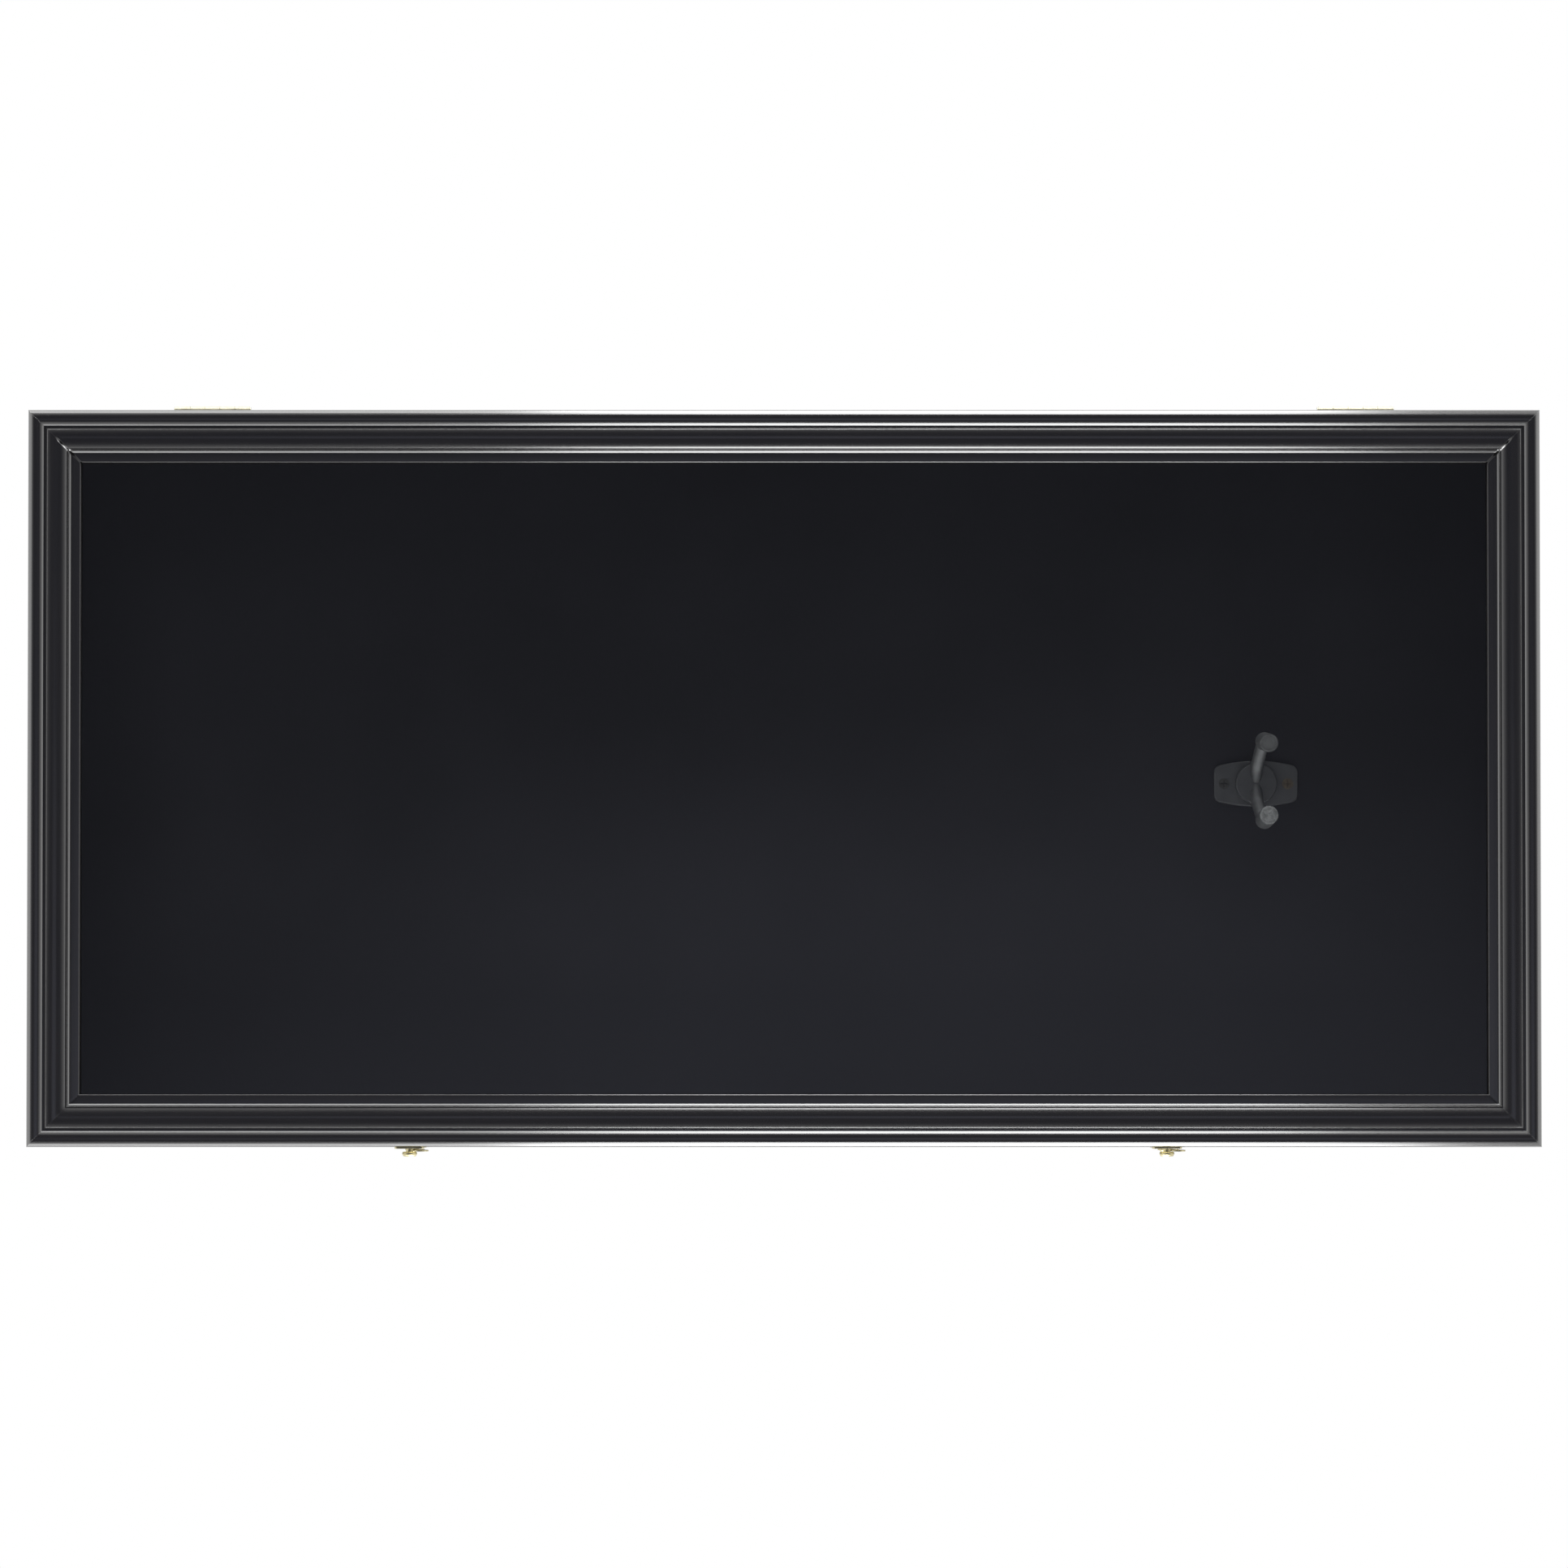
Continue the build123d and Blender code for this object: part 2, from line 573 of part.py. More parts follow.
def latch_pivot(name):
    """The rivet that the hook turns on: a spacer, a shank and a headed end."""
    spacer_end = HOOK_TOP - PIVOT_SPACER_AIR
    head_start = HOOK_UNDER + PIVOT_SPACER_AIR
    end = head_start + PIVOT_HEAD_DEPTH
    points = [
        (0, PLATE_THICK),
        (PIVOT_HEAD_RADIUS, PLATE_THICK),
        (PIVOT_HEAD_RADIUS, spacer_end),
        (PIVOT_RADIUS, spacer_end),
        (PIVOT_RADIUS, head_start),
        (PIVOT_HEAD_RADIUS, head_start),
        (PIVOT_HEAD_RADIUS - PIVOT_HEAD_DEPTH, end),
        (0, end),
    ]
    half = Plane.XZ * make_face(Polyline(*points, close=True))
    return latch_frame(name, -PIVOT_REACH) * revolve(half, Axis.Z)


def latch_hook(name):
    """A flat hook whose mouth runs along an arc about its pivot, swung clear of the knob."""
    half_mouth = KNOB_NECK_RADIUS + HOOK_MOUTH_PLAY
    outline = Circle(HOOK_EYE_RADIUS)
    outline += Pos(0, HOOK_REACH / 2) * Rectangle(HOOK_ARM_WIDTH, HOOK_REACH)
    outline += Pos(0, HOOK_REACH) * Circle(HOOK_HEAD_RADIUS)
    outline += Pos(HOOK_ARM_WIDTH / 2, HOOK_REACH / 2) * Circle(HOOK_EAR_RADIUS)
    track = Circle(HOOK_REACH + half_mouth) - Circle(HOOK_REACH - half_mouth)
    open_side = Pos(-HOOK_REACH, HOOK_REACH) * Rectangle(2 * HOOK_REACH, 2 * HOOK_REACH)
    outline = outline - (track & open_side) - Pos(0, HOOK_REACH) * Circle(half_mouth)
    outline -= Circle(PIVOT_RADIUS + PIVOT_PLAY)
    blank = Pos(0, 0, HOOK_TOP) * extrude(outline, HOOK_THICK)
    return latch_frame(name, -PIVOT_REACH) * Location((0, 0, 0), (0, 0, -HOOK_REST_ANGLE)) * blank


def hanger_frame(forward):
    """Frame on the hanger's axis, x to the right, y up and z to the front, forward of the felt."""
    return Location((HANGER_X, FELT_Y - forward, HANGER_Z), FACING_FRONT)


def hanger_base():
    """Base plate with bowed long sides, bored for the yoke's stem, and two countersunk screws."""
    half, mid, end = BASE_LENGTH / 2, BASE_HEIGHT / 2, BASE_END_HEIGHT / 2
    with BuildSketch() as sketch:
        with BuildLine():
            ThreePointArc((-half, end), (0, mid), (half, end))
            Line((half, end), (half, -end))
            ThreePointArc((half, -end), (0, -mid), (-half, -end))
            Line((-half, -end), (-half, end))
        make_face()
        fillet(sketch.vertices(), BASE_CORNER)
    plate = extrude(sketch.sketch, BASE_THICK)
    plate = fillet(plate.faces().sort_by(Axis.Z)[-1].edges(), BASE_EDGE)
    plate -= Cylinder(STEM_RADIUS + STEM_PLAY, 2 * BASE_THICK)
    return with_holes(hanger_frame(0.0) * plate, HANGER_SCREW, hanger_screw_places())


def arm_line(up):
    """Start, bend, elbow and tip of one arm of the yoke, in the hanger's frame: up is 1 or -1."""
    return [
        Vector(0, 0, ARM_START_FORWARD),
        Vector(0, up * ARM_BEND_OUT, ARM_BEND_FORWARD),
        Vector(0, up * ARM_ELBOW_OUT, ARM_ELBOW_FORWARD),
        Vector(0, up * ARM_TIP_OUT, ARM_TIP_FORWARD),
    ]


def along_arm(up, from_tip):
    """Frame on the straight part of an arm, z towards its tip, from_tip back from the tip."""
    elbow, tip = arm_line(up)[2:]
    way = (tip - elbow).normalized()
    return Plane(origin=tip - way * from_tip, x_dir=(1, 0, 0), z_dir=way).location


def hanger_yoke():
    """Round boss that turns on the base, its stem, and two bent arms that grow out of its face."""
    back = BASE_THICK + BOSS_AIR
    stem = Pos(0, 0, (STEM_AIR + back) / 2) * Cylinder(STEM_RADIUS, back - STEM_AIR)
    boss = Pos(0, 0, back + BOSS_HEIGHT / 2) * Cylinder(BOSS_RADIUS, BOSS_HEIGHT)
    yoke = stem + fillet(boss.edges().filter_by(GeomType.CIRCLE).sort_by(Axis.Z)[-1], BOSS_EDGE)
    room = 2 * (ARM_ELBOW_OUT + ARM_RADIUS)
    ahead = Pos(0, 0, back + ARM_TIP_FORWARD / 2) * Box(room, room, ARM_TIP_FORWARD)
    for up in (1, -1):
        line = arm_line(up)
        path = FilletPolyline(*line, radius=[ARM_BEND_RADIUS, ARM_ELBOW_RADIUS])
        ring = Plane(origin=line[0], x_dir=(1, 0, 0), z_dir=line[1] - line[0]) * Circle(ARM_RADIUS)
        yoke += sweep(ring, path) & ahead
    return hanger_frame(0.0) * yoke


def hanger_sleeve(up):
    """Soft sleeve on the straight part of one arm."""
    sleeve = Pos(0, 0, SLEEVE_LENGTH / 2) * (
        Cylinder(SLEEVE_RADIUS, SLEEVE_LENGTH) - Cylinder(ARM_RADIUS, SLEEVE_LENGTH)
    )
    return hanger_frame(0.0) * along_arm(up, SLEEVE_LENGTH) * sleeve


def hanger_cap(up):
    """Round cap on the tip of one arm, with a raised rim around a flat middle."""
    cap = Pos(0, 0, CAP_THICK / 2) * Cylinder(SLEEVE_RADIUS, CAP_THICK)
    cap = fillet(cap.edges().filter_by(GeomType.CIRCLE).sort_by(Axis.Z)[-1], CAP_EDGE)
    cap -= Pos(0, 0, CAP_THICK) * Cylinder(SLEEVE_RADIUS - CAP_RIM, 2 * CAP_DISH)
    return hanger_frame(0.0) * along_arm(up, 0.0) * cap


def build():
    """Every piece of the case, by the name of its node."""
    nodes = {}
    for side in SIDES:
        nodes[f"box_{side}_board"] = box_board(side)
    nodes["back_panel"] = back_panel()
    nodes["felt_lining"] = felt_lining()
    places = [place for group in panel_screw_places().values() for place in group]
    nodes["back_panel_screws"] = screws(PANEL_SCREW, places)
    nodes["door_bumpers"] = door_bumpers()
    nodes["keyhole_plate_left"] = keyhole_plate(-KEYHOLE_CENTRE_X)
    nodes["keyhole_plate_right"] = keyhole_plate(KEYHOLE_CENTRE_X)
    nodes["keyhole_screws"] = screws(KEYHOLE_SCREW, keyhole_screw_places())

    for side in SIDES:
        kind = "rail" if side in ("top", "bottom") else "stile"
        nodes[f"door_{side}_{kind}"] = door_rail(side)
        nodes[f"glazing_strip_{side}"] = glazing_strip(side)
    nodes["clear_panel"] = clear_panel()
    nodes["glazing_pins"] = strip_pins()

    for name in HINGES:
        nodes[f"hinge_{name}_box_leaf"] = hinge_leaf(name, 1)
        nodes[f"hinge_{name}_door_leaf"] = hinge_leaf(name, -1)
        nodes[f"hinge_{name}_pin"] = hinge_pin(name)
    for toward, body in ((1, "box"), (-1, "door")):
        places = [place for group in hinge_screw_places(toward).values() for place in group]
        nodes[f"hinge_{body}_screws"] = screws(HINGE_SCREW, places)

    for name in LATCHES:
        nodes[f"latch_{name}_door_plate"] = latch_plate(name, KNOB_REACH, DOOR_PLATE_WIDTH)
        nodes[f"latch_{name}_box_plate"] = latch_plate(name, -PIVOT_REACH, CASE_PLATE_WIDTH)
        nodes[f"latch_{name}_knob"] = latch_knob(name)
        nodes[f"latch_{name}_pivot"] = latch_pivot(name)
        nodes[f"latch_{name}_hook"] = latch_hook(name)
    for reach, body in ((-PIVOT_REACH, "box"), (KNOB_REACH, "door")):
        places = [place for name in LATCHES for place in latch_screw_places(name, reach)]
        nodes[f"latch_{body}_screws"] = screws(LATCH_SCREW, places)

    nodes["hanger_base"] = hanger_base()
    nodes["hanger_yoke"] = hanger_yoke()
    nodes["hanger_screws"] = screws(HANGER_SCREW, hanger_screw_places())
    for up, name in ((1, "upper"), (-1, "lower")):
        nodes[f"hanger_sleeve_{name}"] = hanger_sleeve(up)
        nodes[f"hanger_cap_{name}"] = hanger_cap(up)
    return nodes


os.makedirs("parts", exist_ok=True)
for node, shape in build().items():
    export_step(shape, f"parts/{node}.step")
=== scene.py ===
import math

import bmesh
import bpy
from mathutils import Matrix, Vector


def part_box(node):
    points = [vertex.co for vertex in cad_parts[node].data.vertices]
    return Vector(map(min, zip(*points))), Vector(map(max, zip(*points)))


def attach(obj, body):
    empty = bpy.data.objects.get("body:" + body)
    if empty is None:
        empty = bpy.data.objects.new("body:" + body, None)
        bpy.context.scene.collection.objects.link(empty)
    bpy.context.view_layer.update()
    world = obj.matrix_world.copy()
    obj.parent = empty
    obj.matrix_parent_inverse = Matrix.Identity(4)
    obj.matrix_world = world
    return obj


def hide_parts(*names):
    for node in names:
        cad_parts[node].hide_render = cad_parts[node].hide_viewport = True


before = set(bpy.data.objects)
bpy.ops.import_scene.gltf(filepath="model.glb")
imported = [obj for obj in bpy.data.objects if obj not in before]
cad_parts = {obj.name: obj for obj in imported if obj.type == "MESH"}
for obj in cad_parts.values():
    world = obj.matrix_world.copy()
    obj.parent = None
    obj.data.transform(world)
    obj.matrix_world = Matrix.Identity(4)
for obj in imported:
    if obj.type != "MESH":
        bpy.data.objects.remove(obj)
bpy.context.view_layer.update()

# Lengths are in metres, in the frame of the CAD model: X along the case, Y into the wall, Z up.
MM = 0.001

# The door and the hanger's base, read from the frame
RAIL_LOW, RAIL_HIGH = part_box("door_top_rail")
BASE_LOW, BASE_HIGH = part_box("hanger_base")
HALF_WIDTH = RAIL_HIGH.x
HALF_HEIGHT = RAIL_HIGH.z
FRONT_Y = RAIL_LOW.y
DOOR_BACK_Y = RAIL_HIGH.y
DOOR_THICK = DOOR_BACK_Y - FRONT_Y
RAIL_WIDTH = RAIL_HIGH.z - RAIL_LOW.z
BASE_MIDDLE_X = (BASE_LOW.x + BASE_HIGH.x) / 2

# Moulding of the door, as in the CAD model: widths inwards from the outer edge, heights from the front
EDGE_ROUND = 6.4 * MM
BEAD_WIDTH = 13.0 * MM
BEAD_ROUND = 8.0 * MM
BEAD_SLOPE_START = 18.0
BEAD_SLOPE_END = 47.0
GROOVE_WIDTH = 1.3 * MM
GROOVE_DEPTH = 4.0 * MM
ARRIS_WIDTH = 1.7 * MM
ARRIS_RISE = 0.55 * MM
COVE_WIDTH = 15.4 * MM
COVE_DROP = 3.6 * MM
COVE_DEPTH = 1.8 * MM
QUIRK_WIDTH = 0.5 * MM
QUIRK_DEPTH = 0.6 * MM
INNER_BEAD_WIDTH = 2.9 * MM
INNER_BEAD_ROUND = 0.6 * MM
LIP_DROP = 6.4 * MM
LIP_ROUND = 0.9 * MM
REBATE_WIDTH = 8.0 * MM
REBATE_DEPTH = 9.0 * MM

# Steps in which the moulding's rounds are drawn
EDGE_STEPS = 14
BEAD_STEPS = 10
ARRIS_STEPS = 12
COVE_STEPS = 24
SMALL_STEPS = 8

# Edges with a turn sharper than this, in degrees, stay sharp
SHARP_ANGLE = 32.0

# Each side of the door: the middle of its outer edge, the way along it, the way inwards, half its length
SIDE_FRAMES = {
    "top": (Vector((0, 0, HALF_HEIGHT)), Vector((-1, 0, 0)), Vector((0, 0, -1)), HALF_WIDTH),
    "bottom": (Vector((0, 0, -HALF_HEIGHT)), Vector((1, 0, 0)), Vector((0, 0, 1)), HALF_WIDTH),
    "left": (Vector((-HALF_WIDTH, 0, 0)), Vector((0, 0, -1)), Vector((1, 0, 0)), HALF_HEIGHT),
    "right": (Vector((HALF_WIDTH, 0, 0)), Vector((0, 0, 1)), Vector((-1, 0, 0)), HALF_HEIGHT),
}

# Mitres: shut over the outer bead, open in the cove, and less open from the inner bead inwards
MITRE_EASE = 1.10 * MM
MITRE_SHUT_TO = 21.0 * MM
MITRE_OPEN_FROM = 26.0 * MM
MITRE_INNER_SHARE = 0.35
MITRE_INNER_START = BEAD_WIDTH + GROOVE_WIDTH + ARRIS_WIDTH + COVE_WIDTH + QUIRK_WIDTH
MITRE_SHARE = {"top": 1.0, "bottom": 0.12}

# Rings of points near a rail's end: how far from the mitre, and how much of its easing each has
MITRE_RINGS = (
    (0.01 * MM, 1.0),
    (0.55 * MM, 0.66),
    (1.10 * MM, 0.28),
    (1.50 * MM, 0.0),
    (3.2 * MM, 0.0),
)
MIDDLE_RINGS = 12

# Seats of the hinges in the top rail
LEAF_THICK = 1.5 * MM
SEAT_PLAY = Vector((0.1, 0.1, 0.0)) * MM
KNUCKLE_ROOM = 3.4 * MM
KNUCKLE_END_ROOM = 0.3 * MM
CUT_PAST = 1.0 * MM
ROD_SIDES = 48

# Camera, in front of the case and a little below its middle
CAMERA_DISTANCE = 3.85
CAMERA_HEIGHT = -0.140
AIM_HEIGHT = -0.0660
PICTURE_RISE = 0.0483
PHOTO_SPAN = 1.2604
SENSOR = 36.0
CLIP_START = 0.05

# Luminance of the lamps
SOFT_BOX = 6.5
WIDE_BOX = 2.2
KEY_LAMP = 8.0
STRIP_LAMP = 6.0
CORNER_LAMP = 11.0
SIDE_LAMP = 0.5

# World: where its dim front begins and is full, and the soft glow a little below the middle of that front
WHITE = (1.0, 1.0, 1.0, 1.0)
FILL_STRENGTH = 0.4
FRONT_START = -0.35
FRONT_FULL = -0.92
GLOW_SQUEEZE = (0.45, 0.0, 1.0)
GLOW_OFFSET = (-0.0135, 0.0, 0.065)
GLOW_OUTER = 0.125
GLOW_INNER = 0.04
GLOW_DIM = 0.090
GLOW_BRIGHT = 0.27
GLOW_TINT = (0.93, 0.97, 1.20)

# Floor, far below the case
FLOOR_REACH = 7.0
FLOOR_BACK = 1.2
FLOOR_HEIGHT = -2.6

# Colours: the dark and the pale end of what varies in each material
LACQUER_BLACK = ((0.0036, 0.0032, 0.0032), (0.0062, 0.0055, 0.0055))
FLAT_BLACK = ((0.009, 0.009, 0.009), (0.020, 0.018, 0.017))
FIBREBOARD = ((0.016, 0.014, 0.013), (0.050, 0.043, 0.038))
FELT_BLACK = ((0.0038, 0.0036, 0.0045), (0.0068, 0.0065, 0.0081))
FELT_SHEEN = (0.72, 0.76, 0.9, 1.0)
PANE_TINT = (0.975, 0.985, 0.985, 1.0)
LATCH_BRASS = ((0.54, 0.48, 0.28), (0.72, 0.66, 0.43))
HINGE_BRASS = ((0.37, 0.35, 0.26), (0.46, 0.44, 0.34))
BASE_BLACK = ((0.019, 0.019, 0.020), (0.028, 0.028, 0.0295))
BLACKENED_STEEL = ((0.030, 0.027, 0.024), (0.060, 0.052, 0.044))
ZINC = ((0.46, 0.46, 0.47), (0.60, 0.60, 0.59))
SLEEVE_BLACK = ((0.034, 0.034, 0.035), (0.068, 0.068, 0.069))
CAP_BLACK = ((0.030, 0.030, 0.031), (0.056, 0.056, 0.057))
# The lower cap is paler than the upper one: dust, and a painted highlight where it faces the light above
CAP_DUST_AND_HIGHLIGHT = ((0.055, 0.055, 0.056), (0.180, 0.180, 0.182))
BUMPER_GREY = ((0.05, 0.05, 0.05), (0.09, 0.09, 0.09))
FLOOR_WHITE = ((0.86, 0.86, 0.86), (0.90, 0.90, 0.90))

# The right hanger screw is painted brassy as though lit, in patches, and the left one black as though in
# shade; the change comes past the base's middle
SCREW_SHADED_BLACK = (0.036, 0.035, 0.033)
SCREW_HALF_LIT_BROWN = (0.044, 0.032, 0.023)
SCREW_LIT_BRASS = (0.115, 0.090, 0.058)
SCREW_FADE = 1.0 * MM

# The yoke's arms are painted paler than its boss, as though lit, and a painted highlight runs along the
# middle of each arm, set by how the face is turned
BOSS_BLACK = (0.020, 0.020, 0.0212)
ARM_SIDE_BLACK = (0.050, 0.050, 0.0515)
ARM_PAINTED_HIGHLIGHT_GREY = (0.190, 0.190, 0.195)
ARM_HIGHLIGHT_SLANT = -0.10
ARM_HIGHLIGHT_FULL_WITHIN = 0.20
ARM_HIGHLIGHT_GONE_BEYOND = 0.80
ARM_PALE_START = -0.021
ARM_PALE_END = -0.030

# The lacquer's polish fades between these slants of a face, and its sides are rougher by DULL_ROUGHNESS
POLISH_FULL = -0.30
POLISH_NONE = -0.05
POLISHED_ROUGHNESS = (0.15, 0.21)
DULL_ROUGHNESS = 0.27
COAT_IOR = 1.85
COAT_ROUGHNESS = 0.16

# A single face of this index mirrors as much as both faces of the sheet
BOTH_FACES_IOR = 1.80


def link_object(name, data):
    """An object in the scene."""
    obj = bpy.data.objects.new(name, data)
    bpy.context.scene.collection.objects.link(obj)
    return obj


def set_camera():
    """Camera face-on to the case, at the photograph's distance and height."""
    data = bpy.data.cameras.new("camera")
    data.sensor_width = SENSOR
    data.lens = SENSOR * CAMERA_DISTANCE / PHOTO_SPAN
    data.shift_y = PICTURE_RISE
    data.clip_start = CLIP_START
    camera = link_object("camera", data)
    place = Vector((0.0, FRONT_Y - CAMERA_DISTANCE, CAMERA_HEIGHT))
    aim = Vector((0.0, FRONT_Y, AIM_HEIGHT))
    camera.location = place
    camera.rotation_euler = (aim - place).to_track_quat("-Z", "Y").to_euler()
    bpy.context.scene.camera = camera


def area_light(name, place, way, size, luminance):
    """A rectangular soft light of a given brightness that shines one way."""
    data = bpy.data.lights.new(name, "AREA")
    data.shape = "RECTANGLE"
    data.size, data.size_y = size
    data.energy = luminance * math.pi * size[0] * size[1]
    lamp = link_object(name, data)
    lamp.location = place
    lamp.rotation_euler = Vector(way).to_track_quat("-Z", "Y").to_euler()
    lamp.visible_camera = False
    return lamp


def set_lights():
    """Soft boxes above and below, dimmer ones beside them, and high corner lamps that catch the mitres."""
    down, up = (0.0, 0.0, -1.0), (0.0, 0.0, 1.0)
    area_light("box_above", (0.20, -0.45, 2.0), down, (0.95, 2.5), SOFT_BOX)
    area_light("box_below", (0.22, -0.45, -2.0), up, (1.05, 2.5), SOFT_BOX)
    area_light("wide_above", (-0.95, -0.1, 2.1), down, (1.4, 1.4), WIDE_BOX)
    area_light("wide_below", (-0.95, -0.1, -2.1), up, (1.4, 1.4), WIDE_BOX)
    key = area_light("key", (-1.2, -2.5, 1.6), (1.6, 2.3, -1.6), (1.0, 0.8), KEY_LAMP)
    strip = area_light("strip_below", (0.0, -0.80, -0.80), (0.0, 0.65, 0.5), (2.2, 0.3), STRIP_LAMP)
    key.visible_glossy = strip.visible_glossy = False
    sides = (("left", -1.0), ("right", 1.0))
    for side, x in sides:
        area_light(f"corner_{side}", (2.4 * x, -0.6, 3.3), (-2.4 * x, 0.45, -3.3), (1.5, 1.5), CORNER_LAMP)
    for side, x in sides:
        area_light(f"side_{side}", (2.6 * x, -0.5, 0.0), (-x, 0.0, 0.0), (1.8, 1.8), SIDE_LAMP)


def new_node(tree, kind, inputs, **settings):
    """A shader node with its settings, and its inputs linked or set."""
    node = tree.nodes.new("ShaderNode" + kind)
    for name, value in settings.items():
        setattr(node, name, value)
    feed(tree, node, inputs)
    return node


def feed(tree, node, inputs):
    """A node's inputs, by name or number, each linked to another node's output or set to a value."""
    for key, value in inputs.items():
        if isinstance(value, bpy.types.NodeSocket):
            tree.links.new(value, node.inputs[key])
        else:
            node.inputs[key].default_value = value


def maths(tree, operation, *values, clamp=False):
    """A number worked out from set values and other nodes' outputs."""
    inputs = dict(enumerate(values))
    return new_node(tree, "Math", inputs, operation=operation, use_clamp=clamp).outputs[0]


def spread(tree, value, low, high, start=0.3, end=0.7, kind="LINEAR"):
    """A value mapped from start..end to low..high."""
    inputs = {"From Min": start, "From Max": end, "To Min": low, "To Max": high, "Value": value}
    return new_node(tree, "MapRange", inputs, interpolation_type=kind).outputs[0]


def parts_of(tree, vector):
    """The X, Y and Z of a vector."""
    return new_node(tree, "SeparateXYZ", {0: vector}).outputs


def mixed_colour(tree, share, first, second):
    """A colour that turns from the first into the second as the share grows."""
    inputs = {"Factor": share, "A": first, "B": second}
    return new_node(tree, "Mix", inputs, data_type="RGBA").outputs["Result"]


def front_glow(tree, way):
    """Dim cool light with a soft brighter glow, for what mirrors see in front of the case."""
    squeezed = new_node(
        tree, "VectorMath", {0: way, 1: GLOW_SQUEEZE, 2: GLOW_OFFSET}, operation="MULTIPLY_ADD"
    )
    off = new_node(tree, "VectorMath", {0: squeezed.outputs[0]}, operation="LENGTH").outputs["Value"]
    glow = spread(tree, off, GLOW_DIM, GLOW_BRIGHT, start=GLOW_OUTER, end=GLOW_INNER, kind="SMOOTHSTEP")
    return new_node(tree, "VectorMath", {0: GLOW_TINT, "Scale": glow}, operation="SCALE").outputs[0]


def set_world():
    """White to the camera, a soft fill, and for mirrors white all round but for the dim front."""
    world = bpy.data.worlds.new("studio")
    bpy.context.scene.world = world
    world.use_nodes = True
    tree = world.node_tree
    tree.nodes.clear()

    way = new_node(tree, "TexCoord", {}).outputs["Generated"]
    towards = parts_of(tree, way)["Y"]
    front = spread(tree, towards, 0.0, 1.0, start=FRONT_START, end=FRONT_FULL, kind="SMOOTHSTEP")
    seen = mixed_colour(tree, front, WHITE, front_glow(tree, way))

    white = new_node(tree, "Background", {"Color": WHITE}).outputs[0]
    mirrored = new_node(tree, "Background", {"Color": seen}).outputs[0]
    fill = new_node(tree, "Background", {"Color": WHITE, "Strength": FILL_STRENGTH}).outputs[0]

    rays = new_node(tree, "LightPath", {}).outputs
    either = maths(tree, "MAXIMUM", rays["Is Glossy Ray"], rays["Is Transmission Ray"])
    lit = new_node(tree, "MixShader", {"Fac": either, 1: fill, 2: mirrored}).outputs[0]
    shown = new_node(tree, "MixShader", {"Fac": rays["Is Camera Ray"], 1: lit, 2: white}).outputs[0]
    new_node(tree, "OutputWorld", {"Surface": shown})


def new_material(name):
    """A node material, its tree and its one Principled shader."""
    mat = bpy.data.materials.new(name)
    mat.use_nodes = True
    return mat, mat.node_tree, mat.node_tree.nodes["Principled BSDF"]


def object_coords(tree, scale=(1.0, 1.0, 1.0)):
    """Object coordinates stretched by a scale along each axis, in cells per metre."""
    coords = new_node(tree, "TexCoord", {}).outputs["Object"]
    return new_node(tree, "Mapping", {"Scale": scale, "Vector": coords}).outputs["Vector"]


def face_slant(tree):
    """How far a face is turned along X, Y and Z."""
    return parts_of(tree, new_node(tree, "TexCoord", {}).outputs["Normal"])


def noise(tree, scale, detail=4.0, rough=0.5, distortion=0.0):
    """Noise in object coordinates: scale is cells per metre, one number or one for each axis."""
    scale = (scale, scale, scale) if isinstance(scale, (int, float)) else scale
    inputs = {"Scale": 1.0, "Detail": detail, "Roughness": rough, "Distortion": distortion}
    inputs["Vector"] = object_coords(tree, scale)
    return new_node(tree, "TexNoise", inputs).outputs["Fac"]


def grain_scale(along, across, lengthwise):
    """Cells per metre of a grain that runs along one axis."""
    return tuple(lengthwise if axis == along else across for axis in range(3))


def ramp(tree, value, stops):
    """Colours along a value: stops are (position, (r, g, b))."""
    node = new_node(tree, "ValToRGB", {"Fac": value})
    elements = node.color_ramp.elements
    while len(elements) < len(stops):
        elements.new(0.5)
    for element, (position, colour) in zip(elements, stops):
        element.position = position
        element.color = (*colour, 1.0)
    return node.outputs["Color"]


def shades(tree, value, colours, start=0.3, end=0.7):
    """A dark colour that turns into a pale one along a value."""
    return ramp(tree, value, [(start, colours[0]), (end, colours[1])])


def bump(tree, height, depth, normal=None):
    """A bump of a given depth in metres, over another normal where one is given."""
    inputs = {"Strength": 1.0, "Distance": depth, "Height": height}
    if normal is not None:
        inputs["Normal"] = normal
    return new_node(tree, "Bump", inputs).outputs["Normal"]


def soft_edges(tree, radius):
    """Normals that round a piece's sharp edges."""
    return new_node(tree, "Bevel", {"Radius": radius}, samples=4).outputs["Normal"]


def satin_black_wood(name, along):
    """Black lacquer over faint grain along one axis, polished on faces turned forwards, dull elsewhere."""
    mat, tree, shader = new_material(name)
    grain = noise(tree, grain_scale(along, 420.0, 9.0), detail=3.0, rough=0.6, distortion=0.4)
    cloud = noise(tree, 14.0, detail=3.0)
    peel = noise(tree, 700.0, detail=2.0)
    polish = spread(tree, face_slant(tree)["Y"], 1.0, 0.0, start=POLISH_FULL, end=POLISH_NONE)
    low, high = POLISHED_ROUGHNESS
    dull = spread(tree, cloud, low + DULL_ROUGHNESS, high + DULL_ROUGHNESS)
    normal = bump(tree, grain, 0.006 * MM, soft_edges(tree, 0.3 * MM))
    normal = bump(tree, peel, 0.002 * MM, normal)
    feed(tree, shader, {
        "Base Color": shades(tree, grain, LACQUER_BLACK, start=0.35, end=0.70),
        "Roughness": maths(tree, "MULTIPLY_ADD", polish, -DULL_ROUGHNESS, dull),
        "Coat Weight": polish,
        "Coat IOR": COAT_IOR,
        "Coat Roughness": COAT_ROUGHNESS,
        "Normal": normal,
        "Coat Normal": normal,
    })
    return mat


